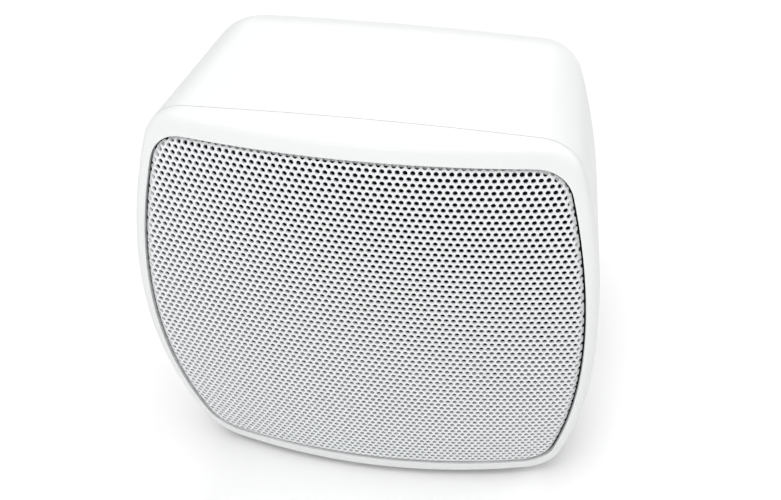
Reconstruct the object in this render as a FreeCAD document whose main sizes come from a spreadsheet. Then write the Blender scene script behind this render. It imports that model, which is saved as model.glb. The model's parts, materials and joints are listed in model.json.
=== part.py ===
# Compact battery loudhailer: a white box-shaped loudspeaker with a domed perforated front.
#
# The front faces -Y, +Z is up, and the origin is under the middle of the box on the surface it
# stands on. Depths are measured rearwards from the highest point of the domed front.
import FreeCAD
import Part
import math
import os
from types import SimpleNamespace

import Sketcher

# alias, millimetres, what it is
SIZES = [
    # casing
    ("front_width", 100.8, "across the front bezel at mid-height"),
    ("front_height", 98.4, "front bezel, bottom to top"),
    ("body_depth", 64.0, "dome to the flat rear face"),
    ("side_bow", 149.0, "radius of the bowed sides, seen from the front"),
    ("top_bow", 940.0, "radius of the nearly straight top and bottom"),
    ("corner_radius", 9.5, "front corners"),
    ("rear_corner", 8.0, "corners of the flat rear face"),
    ("seam_depth", 12.5, "joint between bezel and shell"),
    ("wall", 2.5, "moulded wall"),
    ("rear_wall", 4.0, "rear face of the shell"),
    ("round_reach", 16.0, "depth taken up by the rear rounding"),
    ("rear_round", 17.0, "radius of the rear rounding"),
    ("draw_slope", 0.075, "taper of the sides, width lost per depth"),
    ("top_slope", 0.01, "fall of the top, height lost per depth"),
    # domed front
    ("lip_side", 2.6, "bezel lip beside the grille"),
    ("lip_top", 4.5, "bezel lip above and below the grille"),
    ("grille_corner", 8.2, "corners of the grille"),
    ("sag_side", 4.45, "fall of the dome at the middle of its sides"),
    ("sag_top", 4.4, "fall of the dome at the middle of its top edge"),
    ("sag_twist", 2.6, "extra fall in the corners"),
    ("sheet", 0.5, "perforated steel sheet"),
    ("cloth", 0.3, "acoustic cloth"),
    ("grille_gap", 0.15, "play round the grille"),
    ("sheet_gap", 0.15, "play between stacked front sheets"),
    ("seat_gap", 0.05, "play between seated pieces"),
    ("lip_round", 2.2, "rolled outer edge of the bezel"),
    ("seam_round", 0.3, "rounded rear edge of the bezel, the fine line round the box"),
    ("ledge", 3.0, "ledge that the grille's rim sits on"),
    ("lip_proud", 0.25, "bezel lip above the grille"),
    ("overshoot", 1.0, "how far trimming blanks stand beyond the front"),
    ("plate", 2.0, "rear plate of the bezel"),
    ("opening_margin", 3.0, "opening in the bezel's plate, wider than the driver"),
    # baffle
    ("baffle", 2.5, "baffle thickness"),
    ("baffle_gap", 0.3, "play round the baffle"),
    ("post_inset", 14.4, "baffle screws in from the widest part of the sides"),
    ("post_z", 34.0, "baffle screws from the middle, upwards"),
    ("post_radius", 3.5, "screw posts in the shell"),
    ("post_reach", 9.5, "how far the posts run into the rear rounding, where they join the wall"),
    ("post_gap", 0.1, "play between posts and baffle"),
    ("screw_radius", 1.4, "baffle screw shank"),
    ("screw_head", 2.6, "baffle screw head radius"),
    ("head_height", 1.8, "baffle screw head"),
    ("screw_length", 12.0, "baffle screw under its head"),
    ("screw_play", 0.2, "radial play of a screw in a clearance hole"),
    ("thread_play", 0.05, "radial play of a screw in its pilot hole"),
    # loudspeaker driver
    ("gasket", 1.0, "foam ring under the driver's flange"),
    ("flange_radius", 39.0, "driver flange"),
    ("flange_width", 5.0, "ring of the driver flange"),
    ("steel", 1.0, "pressed steel of the basket"),
    ("surround_width", 5.0, "width of the surround's roll"),
    ("roll_height", 2.2, "height of the surround's roll"),
    ("paper", 0.5, "cone, surround and spider thickness"),
    ("neck_depth", 10.0, "cone neck behind the flange"),
    ("former_radius", 10.0, "voice coil former, outside"),
    ("former_wall", 0.2, "voice coil former"),
    ("former_end", 17.0, "rear end of the former"),
    ("coil_wall", 0.6, "winding"),
    ("coil_length", 4.0, "winding"),
    ("pole_radius", 9.2, "pole piece"),
    ("gap_radius", 11.0, "hole in the top plate"),
    ("top_plate_depth", 12.5, "front of the top plate"),
    ("top_plate", 2.5, "top plate"),
    ("magnet", 5.0, "magnet ring"),
    ("magnet_radius", 22.5, "magnet ring"),
    ("magnet_hole", 13.0, "magnet ring"),
    ("steel_radius", 20.0, "top plate and yoke"),
    ("yoke_plate", 3.0, "yoke's rear plate"),
    ("window_radius", 4.5, "basket windows"),
    ("cap_rise", 4.4, "dust cap above the cone's neck"),
    ("spider_gap", 0.05, "play of the spider on the former"),
    ("spider_rim", 1.5, "spider's edge inside the top plate's edge"),
    ("strip_width", 10.0, "driver's terminal strip"),
    ("strip_height", 3.0, "driver's terminal strip"),
    ("tab_length", 3.0, "solder tabs"),
    ("tab_sheet", 0.5, "solder tabs"),
    ("small_head_height", 1.0, "small screw head"),
    ("board_screw", 6.0, "board screw under its head"),
    ("small_screw", 1.2, "small screw shank radius"),
    ("small_head", 2.0, "small screw head radius"),
    # control panel
    ("panel_width", 46.0, "control panel"),
    ("panel_height", 28.0, "control panel"),
    ("panel_corner", 8.0, "control panel"),
    ("panel_z", 59.5, "height of the panel's middle"),
    ("panel_sheet", 1.6, "control panel"),
    ("recess", 2.0, "recess of panel and battery door"),
    ("panel_ledge", 3.0, "ledge under the panel"),
    ("door_gap", 0.2, "play round panel and battery door"),
    ("seal", 0.3, "seal under the panel"),
    # board and what it carries
    ("board_width", 53.0, "circuit board"),
    ("board_height", 24.0, "circuit board"),
    ("board", 1.6, "circuit board"),
    ("board_depth", 50.0, "front face of the circuit board"),
    ("board_post_x", 24.2, "board screws from the middle"),
    ("board_post", 2.2, "board post radius"),
    ("board_post_root", 1.25, "board post sunk in the shell's rear wall"),
    ("chip_side", 5.0, "amplifier chip"),
    ("chip_height", 1.6, "amplifier chip"),
    ("chip_x", -9.0, "amplifier chip from the middle"),
    ("can_radius", 3.0, "filter capacitors"),
    ("can_height", 3.5, "filter capacitors"),
    ("can_x", 9.0, "filter capacitors from the middle"),
    ("can_step", 7.2, "from one filter capacitor to the next"),
    ("knob_x", -12.0, "volume knob from the middle"),
    ("knob_z", 60.5, "volume knob"),
    ("knob_radius", 7.5, "volume knob"),
    ("knob_crown", 0.7, "chamfer round the knob's top"),
    ("knob_top", 1.6, "knob's top over the end of its shaft"),
    ("bush_room", 0.8, "hollow of the knob over the bush"),
    ("mark_width", 0.9, "pointer groove of the knob"),
    ("mark_length", 3.75, "pointer groove of the knob"),
    ("mark_depth", 0.3, "pointer groove of the knob"),
    ("knob_clear", 0.5, "knob above the panel"),
    ("knob_proud", 4.0, "knob behind the rear face"),
    ("shaft_radius", 3.0, "volume control shaft"),
    ("shaft_fit", 0.05, "radial play of the shaft in its bush"),
    ("bush_radius", 4.0, "threaded bush of the volume control"),
    ("pot_side", 10.0, "volume control housing"),
    ("pot_depth", 6.5, "volume control housing"),
    ("pot_bore", 1.6, "shaft's bearing inside the housing"),
    ("talk_x", 5.0, "talk button"),
    ("talk_z", 64.7, "talk button"),
    ("talk_radius", 5.0, "talk button"),
    ("power_x", 3.0, "power button"),
    ("power_z", 52.6, "power button"),
    ("power_radius", 3.0, "power button"),
    ("button_gap", 0.15, "radial play of a button"),
    ("button_proud", 0.8, "button above the panel"),
    ("button_rim", 0.8, "retaining rim of a button"),
    ("rim_reach", 0.6, "retaining rim wider than the button"),
    ("button_edge", 0.3, "chamfer round a button"),
    ("talk_travel", 0.8, "talk button travel"),
    ("power_travel", 0.5, "power button travel"),
    ("switch_side", 6.0, "push switch housing"),
    ("switch_height", 3.5, "push switch housing"),
    ("switch_clear", 0.1, "button stem from its switch when fully pressed"),
    ("stem_radius", 1.5, "button stem"),
    ("mic_x", 15.0, "microphone"),
    ("mic_z", 65.3, "microphone"),
    ("mic_radius", 3.0, "microphone capsule"),
    ("mic_height", 2.2, "microphone capsule"),
    ("boot_wall", 0.8, "rubber boot of the microphone"),
    ("mic_port", 0.6, "microphone ports"),
    ("mic_step", 1.8, "outer microphone ports from the middle one"),
    ("jack_x", 16.5, "headset jack"),
    ("jack_z", 57.0, "headset jack"),
    ("jack_bore", 1.8, "headset jack bore radius, for a 3.5 mm plug"),
    ("jack_barrel", 2.9, "headset jack barrel radius"),
    ("jack_side", 6.0, "headset jack housing"),
    ("jack_end", 1.6, "headset jack behind its bore"),
    ("usb_x", 12.0, "charging port"),
    ("usb_z", 50.6, "charging port"),
    ("usb_width", 8.94, "charging port shell"),
    ("usb_height", 3.16, "charging port shell"),
    ("usb_depth", 7.3, "charging port shell"),
    ("usb_wall", 0.3, "charging port shell"),
    ("tongue_width", 6.3, "contact tongue of the charging port"),
    ("tongue_sheet", 0.6, "contact tongue of the charging port"),
    ("tongue_back", 1.0, "contact tongue behind the port's mouth"),
    ("lens_x", 10.0, "status lens"),
    ("lens_z", 57.0, "status lens"),
    ("lens_radius", 1.0, "status lens"),
    ("led_side", 1.6, "status lamp on the board"),
    ("lens_gap", 0.3, "between status lamp and lens"),
    # battery
    ("door_ledge", 2.0, "ledge under the battery door"),
    ("door_play", 1.0, "battery opening, wider all round than its tray"),
    ("door_corner", 6.0, "battery door"),
    ("door_z", 31.5, "height of the door's middle"),
    ("door_sheet", 1.8, "battery door"),
    ("door_rib", 2.0, "locating rib of the battery door"),
    ("rib_wall", 1.2, "locating rib of the battery door"),
    ("scoop_width", 12.0, "finger scoop of the battery door"),
    ("scoop_height", 1.5, "finger scoop of the battery door"),
    ("scoop_depth", 0.9, "finger scoop of the battery door"),
    ("cell_radius", 8.3, "rechargeable cell, 16340 size"),
    ("cell_length", 34.2, "rechargeable cell, 16340 size"),
    ("cell_gap", 0.4, "play round the cell"),
    ("contact", 0.4, "contact plate"),
    ("contact_space", 1.9, "room for a contact at each end of the cell"),
    ("contact_side", 11.6, "contact plate"),
    ("nub_radius", 3.3, "raised end of the cell"),
    ("nub_height", 0.9, "raised end of the cell"),
    ("boss_radius", 2.5, "boss of the positive contact"),
    ("spring_base", 4.15, "contact spring, radius at its plate"),
    ("spring_tip", 2.5, "contact spring, radius at the cell"),
    ("tray_wall", 1.0, "battery tray"),
    # feet
    ("foot_radius", 5.0, "rubber foot"),
    ("foot_proud", 1.5, "rubber foot below the shell"),
    ("foot_sunk", 0.8, "rubber foot in its pocket"),
    ("foot_gap", 0.1, "play round a foot"),
    ("foot_x", 30.0, "feet from the middle"),
    ("front_foot", 19.0, "depth of the front feet"),
    ("rear_foot", 41.0, "depth of the rear feet"),
    # wiring
    ("lead_radius", 0.5, "driver lead"),
    ("lead_gap", 0.8, "lead behind the driver"),
    ("lead_bend", 3.0, "bend radius of the leads"),
    ("lead_x", 2.5, "leads from the middle"),
]

doc = FreeCAD.newDocument("BoxLoudhailer")
sheet = doc.addObject("Spreadsheet::Sheet", "Sizes")
for row, (alias, value, note) in enumerate(SIZES, start=1):
    sheet.set(f"A{row}", alias)
    sheet.set(f"B{row}", str(value))
    sheet.setAlias(f"B{row}", alias)
    sheet.set(f"C{row}", note)
doc.recompute()

subparts = []


class Size:
    """A length with its value now and the expression that ties it to the sheet."""

    def __init__(self, value, text):
        self.value = float(value)
        self.text = text

    def __add__(self, other):
        return Size(self.value + number(other), f"({self.text} + {text(other)})")

    def __sub__(self, other):
        return Size(self.value - number(other), f"({self.text} - {text(other)})")

    def __mul__(self, other):
        return Size(self.value * number(other), f"({self.text} * {text(other)})")

    def __truediv__(self, other):
        return Size(self.value / number(other), f"({self.text} / {text(other)})")

    def __neg__(self):
        return Size(-self.value, f"(0 - {self.text})")


def number(length):
    return length.value if isinstance(length, Size) else float(length)


def text(length):
    return length.text if isinstance(length, Size) else repr(float(length))


def root_of(length):
    return Size(math.sqrt(length.value), f"sqrt({length.text})")


NONE = Size(0, "0")
S = SimpleNamespace(**{alias: Size(value, f"Sizes.{alias}") for alias, value, note in SIZES})

GRILLE_X = S.front_width / 2 - S.lip_side
GRILLE_Z = S.front_height / 2 - S.lip_top
SHEETS = S.sheet + S.cloth + S.sheet_gap * 2
FLANGE_INNER = S.flange_radius - S.flange_width
SURROUND_OUTER = FLANGE_INNER - S.paper
CONE_RADIUS = SURROUND_OUTER - S.surround_width
BAFFLE_HOLE = FLANGE_INNER + S.paper
GASKET_INNER = FLANGE_INNER + S.paper * 3
FLANGE_DEPTH = S.seam_depth + S.baffle + S.gasket
MAGNET_DEPTH = S.top_plate_depth + S.top_plate
YOKE_DEPTH = MAGNET_DEPTH + S.magnet
INNER_REAR = S.body_depth - S.rear_wall
RECESS_FLOOR = S.body_depth - S.recess
PANEL_FACE = RECESS_FLOOR + S.seal + S.panel_sheet
BOARD_REAR = S.board_depth + S.board
ROUND_START = S.body_depth - S.round_reach
POST_X = S.front_width / 2 - S.post_inset
TRAY_WIDTH = S.cell_length + S.contact_space * 2
TRAY_HEIGHT = (S.cell_radius + S.cell_gap) * 2
DOOR_WIDTH = TRAY_WIDTH + S.door_play * 2 + S.door_ledge * 2
DOOR_HEIGHT = TRAY_HEIGHT + S.cell_gap + S.door_ledge * 2
MIDDLE = S.foot_proud + S.front_height / 2


def at(depth):
    """The Y of a depth behind the dome's highest point."""
    return (S.body_depth + S.knob_proud) * -0.5 + depth


# ---------------------------------------------------------------- construction helpers


def bind(thing, name, length):
    thing.setExpression(name, text(length))


def place(thing, x=0.0, y=0.0, z=0.0):
    for axis, length in zip("xyz", (x, y, z)):
        bind(thing, f"Placement.Base.{axis}", length)


def keep(thing, label):
    """Takes a finished object as a sub-part: its label names its node and its file."""
    thing.Label = label
    subparts.append(thing)
    return thing


def new_body(label, x=0.0, y=0.0, z=0.0):
    body = doc.addObject("PartDesign::Body", label)
    place(body, x, y, z)
    return keep(body, label)


def new_sketch(body, role, name, lift=0.0, rise=0.0):
    """A sketch on one of the body's planes. On XZ_Plane the lift goes towards the front."""
    sketch = body.newObject("Sketcher::SketchObject", name)
    plane = next(p for p in body.Origin.OriginFeatures if p.Role == role)
    sketch.AttachmentSupport = [(plane, "")]
    sketch.MapMode = "FlatFace"
    bind(sketch, "AttachmentOffset.Base.z", lift)
    bind(sketch, "AttachmentOffset.Base.y", rise)
    return sketch


def limit(sketch, kind, *places_and_length):
    """Adds a dimension to a sketch and ties it to the sheet."""
    *places, length = places_and_length
    index = sketch.addConstraint(Sketcher.Constraint(kind, *places, number(length)))
    sketch.setExpression(f"Constraints[{index}]", text(length))


def outline(body, role, name, corners, lift=0.0):
    """A closed sketch of straight lines through corners given as pairs of lengths."""
    sketch = new_sketch(body, role, name, lift)
    points = [FreeCAD.Vector(number(a), number(b), 0) for a, b in corners]
    count = len(points)
    for i in range(count):
        sketch.addGeometry(Part.LineSegment(points[i], points[(i + 1) % count]))
    for i in range(count):
        sketch.addConstraint(Sketcher.Constraint("Coincident", i, 2, (i + 1) % count, 1))
    for i, (a, b) in enumerate(corners):
        limit(sketch, "DistanceX", -1, 1, i, 1, a)
        limit(sketch, "DistanceY", -1, 1, i, 1, b)
    return sketch


def circles(body, role, name, spots, radius, lift=0.0):
    """Equal circles at the given places."""
    sketch = new_sketch(body, role, name, lift)
    for i, (a, b) in enumerate(spots):
        middle = FreeCAD.Vector(number(a), number(b), 0)
        sketch.addGeometry(Part.Circle(middle, FreeCAD.Vector(0, 0, 1), number(radius)))
        limit(sketch, "DistanceX", -1, 1, i, 3, a)
        limit(sketch, "DistanceY", -1, 1, i, 3, b)
        limit(sketch, "Radius", i, radius)
    return sketch


def rectangle(body, role, name, width, height, lift=0.0, x=0.0, z=0.0):
    right, left = width / 2 + x, width / -2 + x
    top, bottom = height / 2 + z, height / -2 + z
    corners = [(left, bottom), (right, bottom), (right, top), (left, top)]
    return outline(body, role, name, corners, lift)


def pillow(sketch, half_x, half_z, side_bow, top_bow, corner):
    """Draws the front outline: four bowed sides joined by tangent corner arcs."""
    a, b, big, flat, small = map(number, (half_x, half_z, side_bow, top_bow, corner))
    side_x, top_z = a - big, b - flat
    reach_side, reach_top = big - small, flat - small
    span = math.hypot(side_x, top_z)
    along = (reach_side**2 - reach_top**2 + span**2) / (2 * span)
    across = math.sqrt(reach_side**2 - along**2)
    unit_x, unit_z = -side_x / span, top_z / span
    corner_x = side_x + unit_x * along - unit_z * across
    corner_z = unit_z * along + unit_x * across
    low = math.atan2(corner_z, corner_x - side_x)
    high = math.atan2(corner_z - top_z, corner_x)
    arcs = [
        (side_x, 0, big, -low, low),
        (corner_x, corner_z, small, low, high),
        (0, top_z, flat, high, math.pi - high),
        (-corner_x, corner_z, small, math.pi - high, math.pi - low),
        (-side_x, 0, big, math.pi - low, math.pi + low),
        (-corner_x, -corner_z, small, math.pi + low, math.pi + high),
        (0, -top_z, flat, math.pi + high, 2 * math.pi - high),
        (corner_x, -corner_z, small, -high, -low),
    ]
    for x, z, radius, start, end in arcs:
        circle = Part.Circle(FreeCAD.Vector(x, z, 0), FreeCAD.Vector(0, 0, 1), radius)
        sketch.addGeometry(Part.ArcOfCircle(circle, start, end))
    for i in range(8):
        sketch.addConstraint(Sketcher.Constraint("Tangent", i, 2, (i + 1) % 8, 1))
    for first, others in ((0, (4,)), (2, (6,)), (1, (3, 5, 7))):
        for other in others:
            sketch.addConstraint(Sketcher.Constraint("Equal", first, other))
    limit(sketch, "Radius", 0, side_bow)
    limit(sketch, "Radius", 2, top_bow)
    limit(sketch, "Radius", 1, corner)
    for index, sign in ((0, 1), (4, -1)):
        limit(sketch, "DistanceX", -1, 1, index, 3, (half_x - side_bow) * sign)
        sketch.addConstraint(Sketcher.Constraint("PointOnObject", index, 3, -1))
    for index, sign in ((2, 1), (6, -1)):
        limit(sketch, "DistanceY", -1, 1, index, 3, (half_z - top_bow) * sign)
        sketch.addConstraint(Sketcher.Constraint("PointOnObject", index, 3, -2))
    return sketch


def pad(body, sketch, length, rearwards=True):
    feature = body.newObject("PartDesign::Pad", sketch.Label + "_pad")
    feature.Profile = sketch
    bind(feature, "Length", length)
    feature.Reversed = rearwards
    doc.recompute()
    return feature


def pocket(body, sketch, length, rearwards=True):
    """Cuts into a body, and stops if the cut took nothing away."""
    before = body.Shape.Volume
    feature = body.newObject("PartDesign::Pocket", sketch.Label + "_cut")
    feature.Profile = sketch
    bind(feature, "Length", length)
    feature.Reversed = not rearwards
    doc.recompute()
    if body.Shape.Volume > before - 1e-6:
        raise RuntimeError(f"{sketch.Label} cuts nothing")
    return feature


def revolve(body, corners, name="profile"):
    """Turns a profile of (radius, depth) corners round the body's Y axis."""
    sketch = outline(body, "XY_Plane", f"{body.Label}_{name}", corners)
    feature = body.newObject("PartDesign::Revolution", sketch.Label + "_turned")
    feature.Profile = sketch
    feature.ReferenceAxis = (sketch, ["V_Axis"])
    feature.Angle = 360
    doc.recompute()
    return feature


def ring(label, inner, outer, front, rear):
    """A plain ring on the driver's axis, between two depths behind its flange."""
    body = new_body(label, 0, at(FLANGE_DEPTH), MIDDLE)
    revolve(body, [(inner, front), (outer, front), (outer, rear), (inner, rear)])
    return body


def polar(body, feature, count):
    pattern = body.newObject("PartDesign::PolarPattern", feature.Label + "_round")
    pattern.Originals = [feature]
    axis = next(a for a in body.Origin.OriginFeatures if a.Role == "Y_Axis")
    pattern.Axis = (axis, [""])
    pattern.Angle = 360
    pattern.Occurrences = count
    body.Tip = pattern
    doc.recompute()
    return pattern


def cylinder(name, radius, length, x, y, z, along="Y"):
    thing = doc.addObject("Part::Cylinder", name)
    bind(thing, "Radius", radius)
    bind(thing, "Height", length)
    turn = {"Y": ((1, 0, 0), -90), "X": ((0, 1, 0), 90), "Z": ((0, 0, 1), 0)}[along]
    thing.Placement.Rotation = FreeCAD.Rotation(FreeCAD.Vector(*turn[0]), turn[1])
    place(thing, x, y, z)
    return thing


def block(name, width, depth, height, x, y, z):
    """A box centred on x and z that starts at y."""
    thing = doc.addObject("Part::Box", name)
    bind(thing, "Length", width)
    bind(thing, "Width", depth)
    bind(thing, "Height", height)
    place(thing, width / -2 + x, y, height / -2 + z)
    return thing


def join(kind, name, things):
    """Part::MultiFuse, Part::MultiCommon or Part::Compound of several objects."""
    thing = doc.addObject(kind, name)
    if kind == "Part::Compound":
        thing.Links = things
    else:
        thing.Shapes = things
    return thing


def cut(name, base, tool):
    thing = doc.addObject("Part::Cut", name)
    thing.Base = base
    thing.Tool = tool
    return thing


def screws(label, spots, head_depth, head_height, head_radius, shank_radius, length, facing=1):
    """Pan-head screws in one node. Facing 1 drives them rearwards, -1 forwards."""
    made = []
    for i, (x, z) in enumerate(spots):
        head_y = at(head_depth)
        shank_y = at(head_depth + head_height) if facing > 0 else at(head_depth - length)
        head = cylinder(f"{label}_head{i}", head_radius, head_height, x, head_y, z)
        shank = cylinder(f"{label}_shank{i}", shank_radius, length, x, shank_y, z)
        made.append(join("Part::MultiFuse", f"{label}_{i}", [head, shank]))
    return keep(join("Part::Compound", label, made), label)


def four_ways(x, z):
    return [(x * i, z * j) for i in (-1, 1) for j in (-1, 1)]


# ---------------------------------------------------------------- domed front


def dome_face(depth):
    """The crowned surface of the front, moved rearwards by a depth."""
    half_x, half_z = number(GRILLE_X), number(GRILLE_Z)
    steps = [i / 4 for i in range(-6, 7)]
    rows = []
    for u in steps:
        row = []
        for v in steps:
            sag = number(S.sag_side) * u * u + number(S.sag_top) * v * v
            sag += number(S.sag_twist) * u * u * v * v
            y = number(at(depth)) + sag
            row.append(FreeCAD.Vector(u * half_x, y, number(MIDDLE) + v * half_z))
        rows.append(row)
    surface = Part.BSplineSurface()
    surface.interpolate(rows)
    return surface.toShape()


def dome_block(name, depth, thickness):
    """The space between the crowned surface and a copy of it moved along Y."""
    thing = doc.addObject("Part::Feature", name)
    thing.Shape = dome_face(depth).extrude(FreeCAD.Vector(0, number(thickness), 0))
    return thing


def front_prism(name, grow, first, last):
    """The grille's outline, grown all round, between two depths."""
    sketch = doc.addObject("Sketcher::SketchObject", name + "_outline")
    sketch.Placement.Rotation = FreeCAD.Rotation(FreeCAD.Vector(1, 0, 0), 90)
    place(sketch, 0, at(first), MIDDLE)
    side = S.side_bow - S.lip_side + grow
    pillow(sketch, GRILLE_X + grow, GRILLE_Z + grow, side, S.top_bow, S.grille_corner + grow)
    return extrude(name, sketch, last - first)


def extrude(name, sketch, length):
    thing = doc.addObject("Part::Extrusion", name)
    thing.Base = sketch
    thing.DirMode = "Custom"
    thing.Dir = FreeCAD.Vector(0, 1, 0)
    bind(thing, "LengthFwd", length)
    thing.Solid = True
    return thing


def rolled_edge(blank):
    """Rounds a crowned block's front edge, and more finely its rear edge."""
    doc.recompute()
    rear = number(at(S.seam_depth))
    front_radius = S.lip_round.value
    rear_radius = S.seam_round.value
    rounds = []
    for index, edge in enumerate(blank.Shape.Edges, start=1):
        box = edge.BoundBox
        if box.YMin > rear - rear_radius:
            rounds.append((index, rear_radius, rear_radius))
        elif box.YMax < rear - front_radius and max(box.XLength, box.ZLength) > box.YLength:
            rounds.append((index, front_radius, front_radius))
    rolled = doc.addObject("Part::Fillet", blank.Label + "_rolled")
    rolled.Base = blank
    rolled.Edges = rounds
    doc.recompute()
    return rolled


def front_bezel():
    """Ring with a rolled lip round the grille, and a flat plate behind it with a round opening."""
    sketch = doc.addObject("Sketcher::SketchObject", "bezel_outline")
    sketch.Placement.Rotation = FreeCAD.Rotation(FreeCAD.Vector(1, 0, 0), 90)
    start = (S.lip_proud + S.overshoot) * -1
    place(sketch, 0, at(start), MIDDLE)
    half_x, half_z = S.front_width / 2, S.front_height / 2
    pillow(sketch, half_x, half_z, S.side_bow, S.top_bow, S.corner_radius)
    solid = extrude("bezel_prism", sketch, S.seam_depth - start)
    crown = dome_block("bezel_crown", -S.lip_proud, S.seam_depth * 2)
    blank = join("Part::MultiCommon", "bezel_blank", [solid, crown])
    blank = rolled_edge(blank)
    seat_prism = front_prism("seat_prism", S.grille_gap, start, S.seam_depth)
    seat_crown = dome_block("seat_crown", SHEETS, S.seam_depth * -2)
    seat = join("Part::MultiCommon", "grille_seat", [seat_prism, seat_crown])
    plate_front = S.seam_depth - S.plate
    well = front_prism("bezel_well", -S.ledge, start, plate_front)
    reach = S.plate * 3
    hole_y = at(plate_front - S.plate)
    hole = cylinder("bezel_hole", S.flange_radius + S.opening_margin, reach, 0, hole_y, MIDDLE)
    hollows = [seat, well, hole]
    for i, (x, z) in enumerate(four_ways(POST_X, S.post_z)):
        radius = S.screw_radius + S.screw_play
        hollows.append(cylinder(f"bezel_screw_hole{i}", radius, reach, x, hole_y, MIDDLE + z))
    hollow = join("Part::MultiFuse", "bezel_hollows", hollows)
    return keep(cut("front_bezel_shape", blank, hollow), "front_bezel")


def grille_sheets():
    """The grille, and the acoustic cloth between it and its ledge."""
    for label, depth, thickness in (
        ("grille", NONE, S.sheet),
        ("grille_cloth", S.sheet + S.sheet_gap, S.cloth),
    ):
        prism = front_prism(label + "_prism", NONE, S.overshoot * -1, S.seam_depth * 2)
        crown = dome_block(label + "_crown", depth, thickness)
        keep(join("Part::MultiCommon", label + "_shape", [prism, crown]), label)


# ---------------------------------------------------------------- shell and baffle


def rounding(depth, shrink):
    """How far the rear rounding has come in at a depth, on the outside or on the inside."""
    past = depth - ROUND_START
    radius = S.rear_round - shrink
    return radius - root_of(radius * radius - past * past)


def shell_section(body, name, depth, turn, shrink, corner):
    """One cross-section of the shell. The underside stays level up to the rear rounding."""
    drawn = (depth - S.seam_depth) * S.draw_slope
    fall = (depth - S.seam_depth) * S.top_slope
    half_x = S.front_width / 2 - drawn - turn - shrink
    half_z = S.front_height / 2 - fall / 2 - turn - shrink
    sketch = new_sketch(body, "XZ_Plane", name, -depth, fall / -2)
    return pillow(sketch, half_x, half_z, S.side_bow, S.top_bow, corner)


def shell_lofts(body, kind, name, shrink, last):
    """A straight tapered stretch from the seam, then the round rear up to a last depth."""
    front_corner = S.corner_radius - shrink
    rear_corner = S.rear_corner - shrink / 2
    shares = (0, 0.3, 0.56, 0.76, 0.9, 1)
    depths = [S.seam_depth] + [ROUND_START + (last - ROUND_START) * share for share in shares]
    made = []
    for i, depth in enumerate(depths):
        share = (depth - S.seam_depth) / (last - S.seam_depth)
        corner = front_corner + (rear_corner - front_corner) * share
        turn = rounding(depth, shrink) if i > 1 else NONE
        made.append(shell_section(body, f"{name}_{i}", depth, turn, shrink, corner))
    loft(body, kind, name + "_straight", made[:2])
    loft(body, kind, name + "_round", made[1:])


def loft(body, kind, name, sections):
    feature = body.newObject(kind, name)
    feature.Profile = sections[0]
    feature.Sections = sections[1:]
    doc.recompute()
    return feature


def rear_window(body, name, width, height, corner, ledge, z):
    """A recess in the rear face with a smaller opening through its floor."""
    rise = z - MIDDLE
    for suffix, inset, first, length in (
        ("recess", NONE, S.body_depth, S.recess),
        ("opening", ledge, RECESS_FLOOR, S.rear_wall),
    ):
        sketch = rounded_sketch(body, f"{name}_{suffix}", width - inset * 2,
                                height - inset * 2, corner - inset, -first, rise)
        pocket(body, sketch, length, rearwards=False)


def rounded_sketch(body, name, width, height, corner, lift, z):
    """A rectangle with round corners, centred on the body's middle and raised by z."""
    sketch = new_sketch(body, "XZ_Plane", name, lift, z)
    a, b, r = number(width) / 2, number(height) / 2, number(corner)
    quarter = math.pi / 2
    for i, (x, y) in enumerate(((1, 1), (-1, 1), (-1, -1), (1, -1))):
        middle = FreeCAD.Vector(x * (a - r), y * (b - r), 0)
        circle = Part.Circle(middle, FreeCAD.Vector(0, 0, 1), r)
        sketch.addGeometry(Part.ArcOfCircle(circle, i * quarter, (i + 1) * quarter))
    ends = ((a - r, b), (-a + r, b)), ((-a, b - r), (-a, -b + r))
    ends += ((-a + r, -b), (a - r, -b)), ((a, -b + r), (a, b - r))
    for start, end in ends:
        line = Part.LineSegment(FreeCAD.Vector(*start, 0), FreeCAD.Vector(*end, 0))
        sketch.addGeometry(line)
    for i in range(4):
        sketch.addConstraint(Sketcher.Constraint("Tangent", i, 2, i + 4, 1))
        sketch.addConstraint(Sketcher.Constraint("Tangent", i + 4, 2, (i + 1) % 4, 1))
    for i in (1, 2, 3):
        sketch.addConstraint(Sketcher.Constraint("Equal", 0, i))
    limit(sketch, "Radius", 0, corner)
    for i, (x, y) in enumerate(((1, 1), (-1, 1), (-1, -1))):
        limit(sketch, "DistanceX", -1, 1, i, 3, (width / 2 - corner) * x)
        limit(sketch, "DistanceY", -1, 1, i, 3, (height / 2 - corner) * y)
    return sketch


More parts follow.
